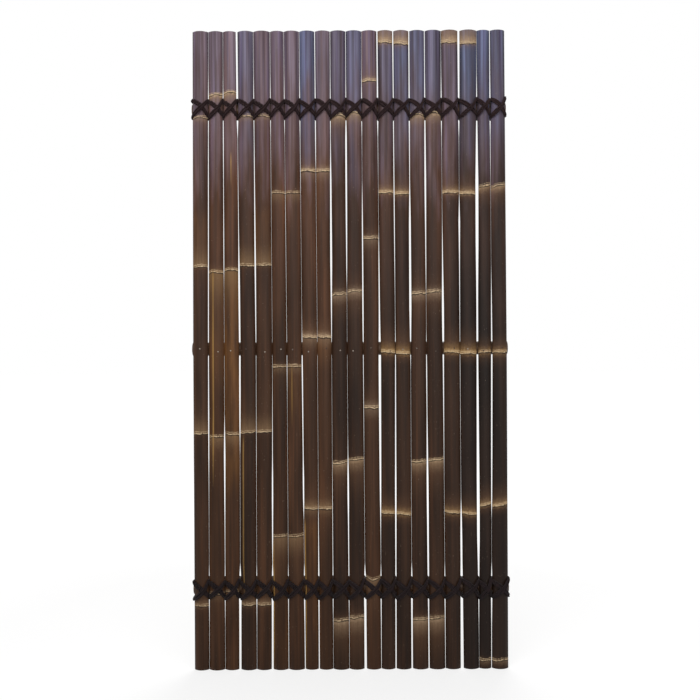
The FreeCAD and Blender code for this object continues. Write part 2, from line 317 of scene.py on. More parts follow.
    glow = add("Math", bothSides(2.8), 0.42, operation="MULTIPLY")
    colour = add("Mix", glow, colour, "#76563e", data_type="RGBA")
    near = bothSides(1)
    flush = add("Math", near, add("MapRange", fine, 0.3, 0.7, 0.55, 1), operation="MULTIPLY")
    tan = add("Mix", gold, "#96806b", "#8f6f46", data_type="RGBA")
    colour = add("Mix", flush, colour, tan, data_type="RGBA")
    creamPatch = add("MapRange", streaks(add, 6, 14, 3, (3, 7, 2)), 0.3, 0.6, 0.35, 1)
    creamShare = add("Math", add("MapRange", near, 0.5, 1, 0, 0.8), creamPatch, operation="MULTIPLY")
    cream = add("Mix", gold, "#b49c82", "#b8986a", data_type="RGBA")
    colour = add("Mix", creamShare, colour, cream, data_type="RGBA")
    waver = add("MapRange", streaks(add, 16, 16, 3, (4, 4, 4)), 0.3, 0.7, -2.2, 2.2)
    waver = add("Math", fromNode, waver, operation="ADD")

    def lineRound(below, core, rim, strength):
        # a line round the cane, mm below the node: full to its core, gone at its rim
        away = add("Math", add("Math", waver, below, operation="ADD"), operation="ABSOLUTE")
        return add("MapRange", away, core, rim, strength, 0)

    # painted shade on the underside of the node ridge
    underRidgeShade = lineRound(2.8, 0.7, 2.2, 0.85)
    colour = add("Mix", underRidgeShade, colour, "#1f1612", data_type="RGBA")
    ring, twin = lineRound(0, 0.8, 1.9, 1), lineRound(-4.8, 0.5, 1.5, 0.6)
    worn = add("MapRange", streaks(add, 4, 9, 2, (8, 8, 3)), 0.35, 0.52, 0.15, 0.95)
    worn = add("Math", worn, ringForce, operation="MULTIPLY")
    rings = add("Math", add("Math", ring, twin, operation="MAXIMUM"), worn, operation="MULTIPLY")
    colour = add("Mix", rings, colour, "#c4ab88", data_type="RGBA")

    # a golden line where the skin is scraped along the fibres
    aside = add("Math", around, add("MapRange", lineAt, 0, 1, -1, 1), operation="SUBTRACT")
    scrape = add("MapRange", add("Math", aside, operation="ABSOLUTE"), 0.03, 0.12, 1, 0)
    for share in (stretchShare(lineLow, lineHigh), lineForce, add("MapRange", cloud, 0.35, 0.6, 0.55, 1)):
        scrape = add("Math", scrape, share, operation="MULTIPLY")
    colour = add("Mix", scrape, colour, "#a07c46", data_type="RGBA")

    # specks and scuffs
    speck = add("MapRange", streaks(add, 2.6, 3.8, 1, (6, 1, 8)), 0.765, 0.79, 0, 0.6)
    colour = add("Mix", speck, colour, "#8d7b6a", data_type="RGBA")
    scuff = add("MapRange", streaks(add, 1.6, 26, 2, (9, 3, 5)), 0.73, 0.77, 0, 0.35)
    colour = add("Mix", scuff, colour, "#7d6a58", data_type="RGBA")

    rough = add("MapRange", fine, 0.25, 0.75, 0.36, 0.56)
    relief = add("Math", fine, add("Math", ring, 0.8, operation="MULTIPLY"), operation="ADD")
    inputs = {"Base Color": colour, "Roughness": rough, "Specular IOR Level": 0.13}
    dress(add, shader, inputs, relief, 0.25, 0.0006)
    return material


# the split faces and hollow: pale fibre, greyed by weather
def splitFace():
    material, shader, add = newMaterial("splitBambooFace")
    fine = streaks(add, 0.9, 60, 4)
    broad = streaks(add, 11, 240, 3, (2, 2, 2))
    colour = add("ValToRGB", fine, stops=((0.25, "#6f5a3e"), (0.5, "#957c58"), (0.75, "#b39a73")))
    colour = add("Mix", add("MapRange", broad, 0.35, 0.7, 0, 0.6), colour, "#66584a", data_type="RGBA")
    rough = add("MapRange", broad, 0.3, 0.7, 0.62, 0.85)
    inputs = {"Base Color": colour, "Roughness": rough, "Specular IOR Level": 0.25}
    dress(add, shader, inputs, fine, 0.5, 0.0008)
    return material


# split bamboo slats
slatShape = {
    "steps": 14,
    # loops across a node: height from it and how far the skin stands out there, mm
    "nodeLoops": ((-16, 0), (-7, 0.12), (-3.2, 0.4), (-1.4, 0.6), (-0.5, 0.25), (0.6, 0.5), (3.2, 0.45),
                  (8, 0.15), (18, 0)),
    "partition": 3.2, "setback": 1, "bevel": 0.3,
    # each slat's warmth, lightness and blue bloom with its painted sky reflection, from left to right
    "tones": (
        (0.6, 0.46, 0.3), (0.85, 0.6, 0.4), (1.0, 0.66, 0.3), (0.55, 0.34, 0.6), (0.75, 0.48, 0.25),
        (0.85, 0.66, 0.35), (0.75, 0.6, 0.35), (0.7, 0.56, 0.95), (0.85, 0.66, 0.4), (0.5, 0.42, 0.55),
        (0.4, 0.44, 0.75), (0.65, 0.53, 0.2), (0.35, 0.42, 0.6), (0.4, 0.44, 0.85), (0.45, 0.46, 0.8),
        (0.45, 0.52, 0.65), (0.3, 0.42, 0.4), (0.05, 0.3, 0.95), (0.05, 0.3, 0.95), (0.1, 0.24, 0.8),
    ),
    # each node: flush above and its strength, flush below and its strength, gold, ring, slant and arch;
    # lengths in mm
    "nodeLooks": {
        "a": ((25, 0.55, 12, 0.3, 0.5, 0.8, 0, 0), (60, 0.55, 8, 0.25, 0.6, 0.9, 2, 0),
              (70, 0.55, 10, 0.3, 0.75, 1, 0, 0), (4, 0.3, 20, 0.6, 0.3, 0.9, 0, 2)),
        "b": ((10, 0.3, 30, 0.3, 0.5, 0.5, 0, 0), (6, 0.4, 50, 0.5, 0.6, 1, 0, 2),
              (12, 0.8, 120, 0.5, 0.9, 0.9, 0, 3), (2, 0.2, 30, 1, 0.45, 1, 2, 3)),
        "c": ((6, 0.4, 70, 0.5, 0.6, 0.9, 2, 0), (8, 0.5, 30, 0.35, 0.5, 0.9, 0, 0),
              (10, 0.5, 40, 0.4, 0.5, 0.8, 0, 0)),
        "d": ((34, 0.75, 30, 0.35, 0.6, 0.9, 0, 0), (24, 1, 40, 0.5, 0.3, 1, -2, 0),
              (20, 0.9, 40, 0.45, 0.35, 1, 0, 0)),
        "e": ((14, 0.5, 60, 0.8, 0.3, 0.9, 2, 2), (6, 0.5, 45, 0.85, 0.4, 1, 2, 0),
              (24, 0.45, 34, 0.75, 0.15, 1, 1, 2), (2, 0.2, 40, 1, 0.35, 0.9, 0, 4)),
        "f": ((5, 0.5, 60, 0.5, 0.4, 0.7, 0, -8), (30, 0.6, 40, 0.4, 0.1, 1, 0, 0),
              (16, 0.6, 40, 0.4, 0.15, 1, 0, 0), (18, 0.9, 14, 0.35, 0.15, 1, 2, 0)),
        "g": ((26, 1, 14, 0.7, 0.85, 0.9, -2, 0), (34, 1, 14, 0.8, 1, 1, -1, 0),
              (26, 0.95, 10, 1, 0.6, 1, 0, 0), (75, 0.9, 9, 0.95, 0.45, 1, 0, -2)),
        "h": ((6, 0.4, 20, 0.5, 0.4, 1, 0, 0), (28, 1, 12, 0.8, 0.7, 0.8, 5, 0),
              (22, 0.9, 18, 0.6, 0.9, 0.9, 1, 0), (3, 0.4, 28, 1, 0.5, 0.7, 5, 0)),
    },
    # nodes sit a little higher or lower than on other slats from the cane: slat number, mm
    "nodeShift": {1: -2, 2: -3, 3: 3, 4: 1, 5: 2, 10: -4.5, 11: 4.5, 13: 2, 14: -2,
                  15: -2, 16: 2.5, 17: 1.5, 18: -2},
    # honey-coloured stretches: slat number, from and to in mm above the foot, strength
    "honey": {2: (534, 1122, 0.18), 3: (500, 1122, 0.6), 5: (1139, 1300, 0.3), 1: (1139, 1290, 0.25),
              6: (10, 365, 0.2), 7: (700, 855, 0.25), 8: (10, 420, 0.25), 9: (860, 937, 0.3)},
    # scraped lines: where round the slat, strength, from and to in mm above the foot
    "scrapes": {2: (-0.34, 0.75, 534, 1122), 3: (0.08, 1, 1375, 1452), 4: (-0.52, 0.65, 210, 655),
                6: (-0.86, 1, 10, 365), 7: (-0.3, 0.35, 700, 855), 8: (-0.8, 1, 10, 420)},
    # plain loops between the nodes: mm from one to the next, from a node's loops and from an end
    "loopStep": 60, "loopApart": 12, "endApart": 2,
    # slats lie closer by ease, but least apart; a lashing holds them near its rail and lets go by and by
    "ease": -1.2, "least": 0.1, "held": 18, "letGo": 50,
    # between the lashings the slats bow: gap number, then heights and how much the gap opens there, mm
    "bows": {
        1: ((1740, -0.6), (1378, 0.9), (1012, 0.8), (830, 0.6), (731, 1.5), (605, 0.8), (513, -0.5),
            (292, -1), (60, -0.6)),
        2: ((1740, -0.4), (1490, 1.4), (1378, 0.6), (1160, 1.4), (1060, -0.6), (740, -0.4), (605, 3.6),
            (490, 2), (380, 0.5), (60, -0.6)),
        3: ((1740, 0.9), (1490, -3.6), (1250, -3), (1080, -0.3), (800, -1), (700, -2), (605, -5.2),
            (300, -5.6), (180, -0.5)),
        4: ((1740, -0.3), (1380, 1), (1250, 1.8), (1160, 2.5), (1012, 1.5), (860, -0.5), (605, -0.3),
            (513, -1.2), (292, -1.4), (60, -0.6)),
        5: ((1740, -0.2), (605, -0.4), (513, 0.9), (380, -0.6), (292, -3), (180, -0.5)),
        6: ((1740, -0.3), (1490, -0.6), (1250, 0.2), (1012, 0.1), (830, 0.8), (731, -0.4), (560, -1.2),
            (380, -0.6), (292, -0.5)),
        7: ((1740, -0.2), (1380, -0.5), (1250, -2), (1012, -1.6), (830, 1.2), (731, 0.5), (605, -0.2),
            (513, 1.5), (380, -3.3), (292, -3), (160, -1)),
        8: ((1490, 1), (1380, -1), (513, -1.6), (380, -0.5), (292, 0.2), (180, -0.5)),
        9: ((1490, 0.3), (1378, 3), (1160, 4.4), (1012, 2), (860, -1), (300, 0.2), (60, -0.8)),
        10: ((1490, 3.5), (1378, 3.5), (1250, 3), (1160, 1.8), (1040, -0.6), (640, 0), (513, 3.5),
             (380, 1.4), (292, 1), (60, -0.6)),
        11: ((1740, -0.6), (1400, -1), (1250, 1.4), (1012, 1.7), (860, -0.6), (700, -1.8), (513, -5),
             (292, -5.6), (180, 0)),
        12: ((1740, 0.7), (1490, -2.2), (1250, -4), (1160, -1.8), (1012, -1.4), (860, 1.8), (640, 1.4),
             (513, 0.6), (380, -1.6), (292, -2.4), (60, 0)),
        13: ((1740, 1.4), (1490, 0.6), (1250, 0.8), (1012, -0.8), (830, 0.8), (605, 1.4), (513, 1.9),
             (380, 1.1), (292, 0.2), (60, 0.4)),
        14: ((1740, 0.5), (1490, 0), (1380, -0.6), (1250, 2.7), (1012, 3.2), (920, 0), (830, -2.8),
             (605, -3.6), (380, -4.6), (292, -5), (160, 0)),
        15: ((1490, 1.8), (1378, 2.9), (1160, 0.6), (1012, -1.4), (830, 1), (731, 0), (605, 1.8), (513, 3),
             (300, 1.8)),
        16: ((1740, -0.6), (1490, -1.2), (1378, -2.6), (1250, -2), (1160, -0.4), (1012, 2), (830, -1),
             (605, -2), (513, -3.8), (292, -4)),
        17: ((1740, 1.8), (1490, -2.2), (1378, -3.2), (1250, 2), (1160, 0), (860, -1), (731, -2.1),
             (513, -4.2), (380, 0), (292, -0.5), (60, 1)),
        18: ((1740, -0.8), (1490, 2.8), (1378, 5.6), (1250, 5), (1012, 0.8), (860, 0.5), (731, 2.4),
             (513, 4.6), (380, 5), (292, 2.4), (60, -0.8)),
        19: ((1490, -1), (1250, -3.2), (1160, -3), (1012, -0.6), (860, 0.3), (640, 0.3), (500, -0.6),
             (380, -3.7), (292, -3.8), (150, -1.4)),
    },
}


def gapChange(gap, height):
    # how much wider the gap after slat number gap is here than its even taper; the lashings hold it
    if not 0 < gap < slatCount:
        return 0
    rows = [panel["rails"][name] for name in ("bottom", "top")]
    bows = sorted((*slatShape["bows"].get(gap, ()), *((row, 0) for row in rows)))
    heights = [bow[0] for bow in bows]
    if height <= heights[0] or height >= heights[-1]:
        change = bows[0][1] if height <= heights[0] else bows[-1][1]
    else:
        after = next(number for number, place in enumerate(heights) if place > height)
        (low, first), (high, second) = bows[after - 1], bows[after]
        share = (height - low) / (high - low)
        change = first + (second - first) * share * share * (3 - 2 * share)
    taper = between(panel["gaps"][gap - 1], height)
    change = max(change + slatShape["ease"], slatShape["least"] - taper)
    held = min(abs(height - row) for row in rows)
    return change * min(max((held - slatShape["held"]) / slatShape["letGo"], 0), 1)


def makeSlat(index, skin, cut):
    cane, *widths = panel["slats"][index]
    length, wall = panel["length"], panel["wall"]
    nodes = [node + slatShape["nodeShift"].get(index + 1, 0) for node in panel["canes"][cane]]
    radii = [slatRadius(width) for width in widths]

    deselectAll()
    # one split face, spun round the cane's axis
    bpy.ops.mesh.primitive_plane_add(size=1, enter_editmode=True)
    piece = bpy.context.object
    piece.name = piece.data.name = f"bambooSlat{index + 1:02d}"
    bpy.ops.mesh.select_all(action="SELECT")
    bpy.ops.transform.rotate(value=math.pi / 2, orient_axis="X", center_override=(0, 0, 0))
    bpy.ops.transform.resize(value=(wall, 1, length))
    bpy.ops.transform.translate(value=(-wall / 2, 0, length / 2))
    bpy.ops.mesh.bisect(plane_co=(0, 0, length / 2), plane_no=(0, 0, 1))
    for level, radius in enumerate(radii):
        pickVerts(lambda co: abs(co.z - level * length / 2) < 1)
        bpy.ops.transform.translate(value=(radius, 0, 0))
    bpy.ops.mesh.select_all(action="SELECT")
    bpy.ops.mesh.spin(steps=slatShape["steps"], angle=2 * halfSplit, center=(0, 0, 0), axis=(0, 0, 1))
    bpy.ops.mesh.select_all(action="SELECT")
    bpy.ops.mesh.remove_doubles(threshold=0.001)
    bpy.ops.mesh.normals_make_consistent(inside=False)
    bpy.ops.object.mode_set(mode="OBJECT")
    middle = sum((vert.co for vert in piece.data.vertices), Vector()) / len(piece.data.vertices)
    toFront = -math.pi / 2 - math.atan2(middle.y, middle.x)
    settle(piece, Matrix.Rotation(toFront, 4, "Z"))

    bpy.ops.object.mode_set(mode="EDIT")
    loops = [(node + offset, rise) for node in nodes for offset, rise in slatShape["nodeLoops"]]
    plain = [step * slatShape["loopStep"] for step in range(1, int(length / slatShape["loopStep"]))]
    apart, end = slatShape["loopApart"], slatShape["endApart"]
    loops += [(height, 0) for height in plain if min(abs(height - loop[0]) for loop in loops) > apart]
    loops = sorted(loop for loop in loops if end < loop[0] < length - end and abs(loop[0] - length / 2) > 0.5)
    for height, rise in loops:
        bpy.ops.mesh.select_all(action="SELECT")
        bpy.ops.mesh.bisect(plane_co=(0, 0, height), plane_no=(0, 0, 1))
    # the columns next to the split edges stay flat
    lastColumn = math.cos(halfSplit * (1 - 1.2 / slatShape["steps"]))
    for height, rise in loops:
        if rise:
            radius = between(radii, height)
            pickVerts(lambda co: abs(co.z - height) < 0.01 and co.xy.length > radius - 0.5
                      and -co.y / co.xy.length > lastColumn)
            grow = (radius + rise) / radius
            bpy.ops.transform.resize(value=(grow, grow, 1), center_override=(0, 0, height))
    bpy.ops.mesh.select_mode(type="FACE")
    for node in nodes:
        inner = between(radii, node) - wall
        pickFaces(lambda co, normal: abs(co.z - node) < slatShape["partition"] and co.xy.length < inner + 1
                  and abs(normal.z) < 0.5 and -co.y / co.xy.length > lastColumn)
        bpy.ops.mesh.extrude_region()
        flat = -inner * math.cos(halfSplit) - slatShape["setback"]
        bpy.ops.transform.resize(value=(1, 0, 1), center_override=(0, flat, node))
    bpy.ops.mesh.select_mode(type="VERT")
    bpy.ops.object.mode_set(mode="OBJECT")

    piece.data.materials.append(skin)
    piece.data.materials.append(cut)
    for face in piece.data.polygons:
        outward = face.center.xy.normalized()
        outside = face.center.xy.length > between(radii, face.center.z) - wall / 3
        face.material_index = 0 if outside and face.normal.xy.dot(outward) > 0.7 else 1
    applyModifier(piece, "BEVEL", width=slatShape["bevel"], segments=2, limit_method="ANGLE",
                  angle_limit=math.radians(50))

    # skin map: round from the crest, and mm up from the nearest node; then the slat's and the nodes' tones
    mesh = piece.data
    mesh.uv_layers.new(name="skinMap")
    layers = ("slatTone", "nodeLook", "nodeForce", "honeyPatch", "scrapeLine")
    for name in layers:
        mesh.color_attributes.new(name, "FLOAT_COLOR", "CORNER")
    skinMap = mesh.uv_layers["skinMap"]
    tone, look, force, honey, scrape = [mesh.color_attributes[name] for name in layers]
    low, high, strength = slatShape["honey"].get(index + 1, (0, 0, 0))
    lineAt, lineForce, lineLow, lineHigh = slatShape["scrapes"].get(index + 1, (0, 0, 0, 0))
    for face in mesh.polygons:
        nearest = min(range(len(nodes)), key=lambda number: abs(nodes[number] - face.center.z))
        above, aboveForce, below, belowForce, gold, ring, slant, arch = slatShape["nodeLooks"][cane][nearest]
        for loop in face.loop_indices:
            co = mesh.vertices[mesh.loops[loop].vertex_index].co
            around = math.atan2(co.x, -co.y) / halfSplit
            ringHeight = nodes[nearest] + slant * around + arch * (1 - around ** 2)
            skinMap.data[loop].uv = (around, co.z - ringHeight)
            tone.data[loop].color = (*slatShape["tones"][index], 1)
            look.data[loop].color = (above / 100, below / 100, gold, 1)
            force.data[loop].color = (aboveForce, belowForce, ring, 1)
            honey.data[loop].color = (low / 2000, high / 2000, strength, 1)
            scrape.data[loop].color = (lineAt / 2 + 0.5, lineForce, lineLow / 2000, lineHigh / 2000)

    # bow from foot to head, back on the back plane
    seats = [(radius - wall) * math.cos(halfSplit) - panel["backPlane"] for radius in radii]
    changes = {}
    for vert in mesh.vertices:
        height = round(vert.co.z, 1)
        if height not in changes:
            changes[height] = gapChange(index, height) / 2, -gapChange(index + 1, height) / 2
        left, right = changes[height]
        share = (min(max(math.atan2(vert.co.x, -vert.co.y) / halfSplit, -1), 1) + 1) / 2
        vert.co.x += between(slatMiddles[index], vert.co.z) + left + (right - left) * share
        vert.co.y += between(seats, vert.co.z)
    settle(piece, Matrix.Scale(mm, 4))
    bpy.ops.object.shade_smooth_by_angle(angle=math.radians(40))
    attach(piece, "root")
    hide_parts(f"slat_{index + 1:02d}")
    return piece


skin, cut = stainedSkin(), splitFace()
slats = [makeSlat(index, skin, cut) for index in range(slatCount)]
print("slats made:", len(slats))


# rails: thin round canes, brown, ringed at their nodes
def railSkin():
    material, shader, add = newMaterial("brownRailCane")
    place = add("TexCoord").outputs["Object"]
    turned = add("Mapping", place, (0, 0, 0), (0, 0, 0), (5, 600, 600))    # fibres 1.7 mm thick, 200 mm long
    fine = add("TexNoise", turned, 1, 4)
    blotch = add("TexNoise", place, 28, 3)    # 36 mm across
    colour = add("ValToRGB", fine, stops=((0.25, "#2e2018"), (0.5, "#463122"), (0.75, "#5d4430")))
    colour = add("Mix", add("MapRange", blotch, 0.45, 0.7, 0, 0.5), colour, "#6a4f35", data_type="RGBA")
    along = add("SeparateXYZ", add("UVMap", uv_map="railMap")).outputs["X"]
    fromNode = add("Math", along, operation="ABSOLUTE")
    colour = add("Mix", add("MapRange", fromNode, 1, 12, 0.7, 0), colour, "#8f7452", data_type="RGBA")
    colour = add("Mix", add("MapRange", fromNode, 0.6, 1.4, 0.9, 0), colour, "#bda684", data_type="RGBA")
    rough = add("MapRange", blotch, 0.3, 0.7, 0.4, 0.6)
    inputs = {"Base Color": colour, "Roughness": rough, "Specular IOR Level": 0.25}
    dress(add, shader, inputs, fine, 0.3, 0.0006)
    return material


railShape = {
    "sides": 40, "bevel": 0.8, "sunk": 0.6,    # ring crests keep within the cane's own thickness
    "nodeLoops": ((-14, 0), (-5, 0.15), (-1.4, 0.55), (-0.4, 0.2), (0.8, 0.5), (4, 0.25), (14, 0)),
    # nodes along each rail, mm from its middle; the outer two close the hollow ends
    "inner": {"bottom": (-22,), "middle": (31,), "top": (6,)},
}


def makeRail(name, skin, cut):
    height = panel["rails"][name]
    left = slatSpan(0, height)[0] - panel["railOverhang"]
    right = slatSpan(slatCount - 1, height)[1] + panel["railOverhang"]
    length, radius = right - left, panel["railDiameter"] / 2
    outer = length / 2 - panel["boreDepth"]
    nodes = sorted((-outer, outer, *railShape["inner"][name]))

    deselectAll()
    bpy.ops.mesh.primitive_cylinder_add(vertices=railShape["sides"], radius=radius, depth=length,
                                        enter_editmode=True)
    piece = bpy.context.object
    piece.name = piece.data.name = f"{name}RailCane"
    bpy.ops.mesh.select_mode(type="FACE")
    for end in (-1, 1):    # the hollow of each end, down to its first node
        pickFaces(lambda co, normal: normal.z * end > 0.9 and abs(co.z) > length / 2 - 1)
        bpy.ops.mesh.inset(thickness=radius - panel["railBore"] / 2)
        bpy.ops.mesh.extrude_region()
        bpy.ops.transform.translate(value=(0, 0, -end * panel["boreDepth"]))
    bpy.ops.mesh.select_mode(type="VERT")
    loops = [(node + offset, rise) for node in nodes for offset, rise in railShape["nodeLoops"]]
    for place, rise in loops:
        pickVerts(lambda co: True)
        bpy.ops.mesh.bisect(plane_co=(0, 0, place), plane_no=(0, 0, 1))
    for place, rise in loops:
        if rise:
            pickVerts(lambda co: abs(co.z - place) < 0.01 and co.xy.length > radius - 0.5)
            grow = (radius + rise - railShape["sunk"]) / radius
            bpy.ops.transform.resize(value=(grow, grow, 1), center_override=(0, 0, place))
    bpy.ops.mesh.select_all(action="SELECT")
    bpy.ops.mesh.normals_make_consistent(inside=False)
    bpy.ops.object.mode_set(mode="OBJECT")
    mesh = piece.data
    mesh.materials.append(skin)
    mesh.materials.append(cut)
    for face in mesh.polygons:
        onSkin = face.center.xy.length > radius - 2 and abs(face.normal.z) < 0.7
        face.material_index = 0 if onSkin else 1
    applyModifier(piece, "BEVEL", width=railShape["bevel"], segments=2, limit_method="ANGLE",
                  angle_limit=math.radians(60))
    railMap = piece.data.uv_layers.new(name="railMap")
    for face in piece.data.polygons:
        nearest = min(nodes, key=lambda node: abs(node - face.center.z))
        for loop in face.loop_indices:
            co = piece.data.vertices[piece.data.loops[loop].vertex_index].co
            railMap.data[loop].uv = (co.z - nearest, math.atan2(co.y, co.x))
    place = Matrix.Translation(((left + right) / 2, railDepth, height)) @ Matrix.Rotation(math.pi / 2, 4, "Y")
    settle(piece, Matrix.Scale(mm, 4) @ place)
    bpy.ops.object.shade_smooth_by_angle(angle=math.radians(40))
    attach(piece, "root")
    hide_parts(f"{name}_rail")
    return piece


railCane = railSkin()
rails = [makeRail(name, railCane, cut) for name in panel["rails"]]
print("rails made:", len(rails))


# black fibre rope, wound double along each of two rails and back over itself
ropeShape = {
    "radius": 2.6, "pitch": 20, "step": 2.2, "backSpread": 5, "railGap": 0.3, "flatness": 1.35,
    # how full the cords are on the first pass and on the way back
    "fullness": {"top": (1.5, 1.18), "bottom": (1.8, 1.5)},
    # crosses: half their height on each pass, rope over the skin, second pass over the first, lean
    "near": 21.5, "far": 26, "lift": 2.5, "raise": 4.5, "lean": 6,
    # no two crosses are alike: mm that an arm strays, from slat to slat, and how much that leans the cross
    "stray": 2.4, "strayTurn": 2.4, "strayLean": 1.5,
    # the slats' front edges lie edgeDepth in front of the frame's middle; the rope rounds them at edgeLift
    "edgeDepth": 16.45, "edgeLift": 4.4, "edgeOut": 1.3,
    # between two slats: depth, room beside the outer ones, most room taken, the cords' half distance
    "gapDepth": 9, "endRoom": 3, "gapIn": 1.6, "tight": 1.2,
    # squeezed there: reach beside the gap, share of the room, how fast it widens in front, thinnest
    "squeezeReach": 4, "squeezeShare": 0.85, "squeezeWiden": 0.75, "thinnest": 0.4,
    # the two plies, seen along the rope
    "section": ((1, 0), (0.76, 0.46), (0.34, 0.46), (0, 0.24), (-0.34, 0.46), (-0.76, 0.46),
                (-1, 0), (-0.76, -0.46), (-0.34, -0.46), (0, -0.24), (0.34, -0.46), (0.76, -0.46)),
}


def ropeMaterial():
    # black palm fibre: matte, hairy, browner higher up
    material, shader, add = newMaterial("blackFibreRope")
    place = add("TexCoord").outputs["Object"]
    strand = add("SeparateXYZ", add("UVMap", uv_map="ropeMap"))
    # a fibre shows for 8 mm, and 14 lie round the rope: coarser than real ones, so that they show
    along = add("Math", strand.outputs["X"], 0.12, operation="MULTIPLY")
    around = add("Math", strand.outputs["Y"], 14, operation="MULTIPLY")
    fibre = add("TexNoise", add("CombineXYZ", along, around), 1, 4)
    patch = add("TexNoise", place, 60, 3)    # 17 mm across
    colour = add("ValToRGB", fibre, stops=((0.3, "#0e0a0a"), (0.52, "#191213"), (0.74, "#2c2020")))
    brownerFibre = add("ValToRGB", fibre, stops=((0.3, "#1c1112"), (0.55, "#2d1c1d"), (0.78, "#4a3431")))
    # browner higher up
    higherUpShare = add("MapRange", add("SeparateXYZ", place).outputs["Z"], 0.4, 1.5, 0.1, 0.6)
    colour = add("Mix", higherUpShare, colour, brownerFibre, data_type="RGBA")
    colour = add("Mix", add("MapRange", patch, 0.52, 0.74, 0, 0.4), colour, "#2e1f1f", data_type="RGBA")
    rough = add("MapRange", fibre, 0.3, 0.7, 0.75, 0.95)
    inputs = {"Base Color": colour, "Roughness": rough, "Specular IOR Level": 0.12, "Sheen Weight": 0.05}
    dress(add, shader, inputs, fibre, 0.8, 0.0012)
    return material


def ropeRoute(height, sign):
    # the rope's points over the slats and round the rail; sign picks one of the two cords side by side
    shape = ropeShape
    spans = [slatSpan(index, height) for index in range(slatCount)]
    gaps = [right[0] - left[1] for left, right in zip(spans, spans[1:])]
    rooms = [shape["endRoom"], *gaps, shape["endRoom"]]
    places = [left[1] + gap / 2 for left, gap in zip(spans, gaps)]
    turn = 2 * halfSplit / 3
    mirror = 1 if height > panel["length"] / 2 else -1
    points = []

    def crossing(index, level, way, lifted):
        left, right = spans[index]
        stray = shape["stray"] * math.sin(shape["strayTurn"] * index + way) * mirror
        lean = way * (shape["lean"] + shape["strayLean"] * stray)
        radius = slatRadius(right - left)
        depth = (radius - panel["wall"]) * math.cos(halfSplit) - panel["backPlane"]
        slope = 2 * level / (right - left)
        spread = -way * sign * shape["radius"] * math.hypot(1, slope)
        tight = -way * sign * shape["tight"]
        start, end = (left, right) if way > 0 else (right, left)
        rooming = (rooms[index], rooms[index + 1]) if way > 0 else (rooms[index + 1], rooms[index])
        ins, outs = [min(shape["gapIn"], room / 2) * way for room in rooming]
        inGap, rounding = -shape["gapDepth"], -shape["edgeDepth"] - shape["edgeLift"]
        edgeOut = shape["edgeOut"] * way
        points.append((start - ins, inGap, level + tight))
        points.append((start - edgeOut, rounding, level + tight + stray))
        arm = (radius + shape["lift"] + lifted) / math.cos(turn / 2)
        for side, share in ((-way, 1 / 3), (way, 2 / 3)):
            across = (left + right) / 2 + arm * math.sin(side * turn / 2)
            up = level * (1 - 2 * share) + spread + lean
            points.append((across, depth - arm * math.cos(turn / 2), up))
        points.append((end + edgeOut, rounding, -level + tight - stray))
        points.append((end + outs, inGap, -level + tight))

    def railTurn(below, above, lifted):
        over = shape["radius"] + shape["railGap"] + lifted
        arm = (panel["railDiameter"] / 2 + over) / math.cos(math.radians(30))
        for step, angle in enumerate((-60, 0, 60)):
            across = below + (above - below) * step / 2 - sign * shape["radius"]
            turned = math.radians(angle)
            points.append((across, railDepth + arm * math.cos(turned), arm * math.sin(turned)))

    out = shape["backSpread"]
    for index in range(slatCount):
        crossing(index, shape["near"], 1, 0)
        if index < slatCount - 1:
            railTurn(places[index] - out, places[index] + out, 0)
        else:
            railTurn(spans[-1][1] - out, spans[-1][1] - out, 0)
    for index in reversed(range(slatCount)):
        crossing(index, shape["far"], -1, shape["raise"])
        if index:
            railTurn(places[index - 1] + out, places[index - 1] - out, shape["raise"])
        else:
            railTurn(spans[0][0] + out, spans[0][0] + out, 0)
    return [Vector((x, y, z + height)) for x, y, z in points], places, gaps


def smoothLine(points):
    # the route as one smooth closed spline, read back as points
    data = bpy.data.curves.new("ropeRoute", "CURVE")
    data.dimensions = "3D"
    spline = data.splines.new("NURBS")
    spline.points.add(len(points) - 1)
    for target, point in zip(spline.points, points):
        target.co = (*point, 1)
    spline.use_cyclic_u = True
    spline.order_u = 3
    spline.resolution_u = 10
    holder = bpy.data.objects.new("ropeRoute", data)
    bpy.context.scene.collection.objects.link(holder)
    bpy.context.view_layer.update()
    mesh = bpy.data.meshes.new_from_object(holder.evaluated_get(bpy.context.evaluated_depsgraph_get()))
    line = [vert.co.copy() for vert in mesh.vertices]
    bpy.data.meshes.remove(mesh)
    bpy.data.objects.remove(holder)
    bpy.data.curves.remove(data)
    return line


def evenSteps(line, step):
    # the same line in equal steps
    ring = line + [line[0]]
    lengths = [(b - a).length for a, b in zip(ring, ring[1:])]
    total = sum(lengths)
    count = round(total / step)
    steps, walked, index = [], 0.0, 0
    for number in range(count):
        target = total * number / count
        while walked + lengths[index] < target:
            walked += lengths[index]
            index += 1
        steps.append(ring[index].lerp(ring[index + 1], (target - walked) / lengths[index]))
    return steps, total


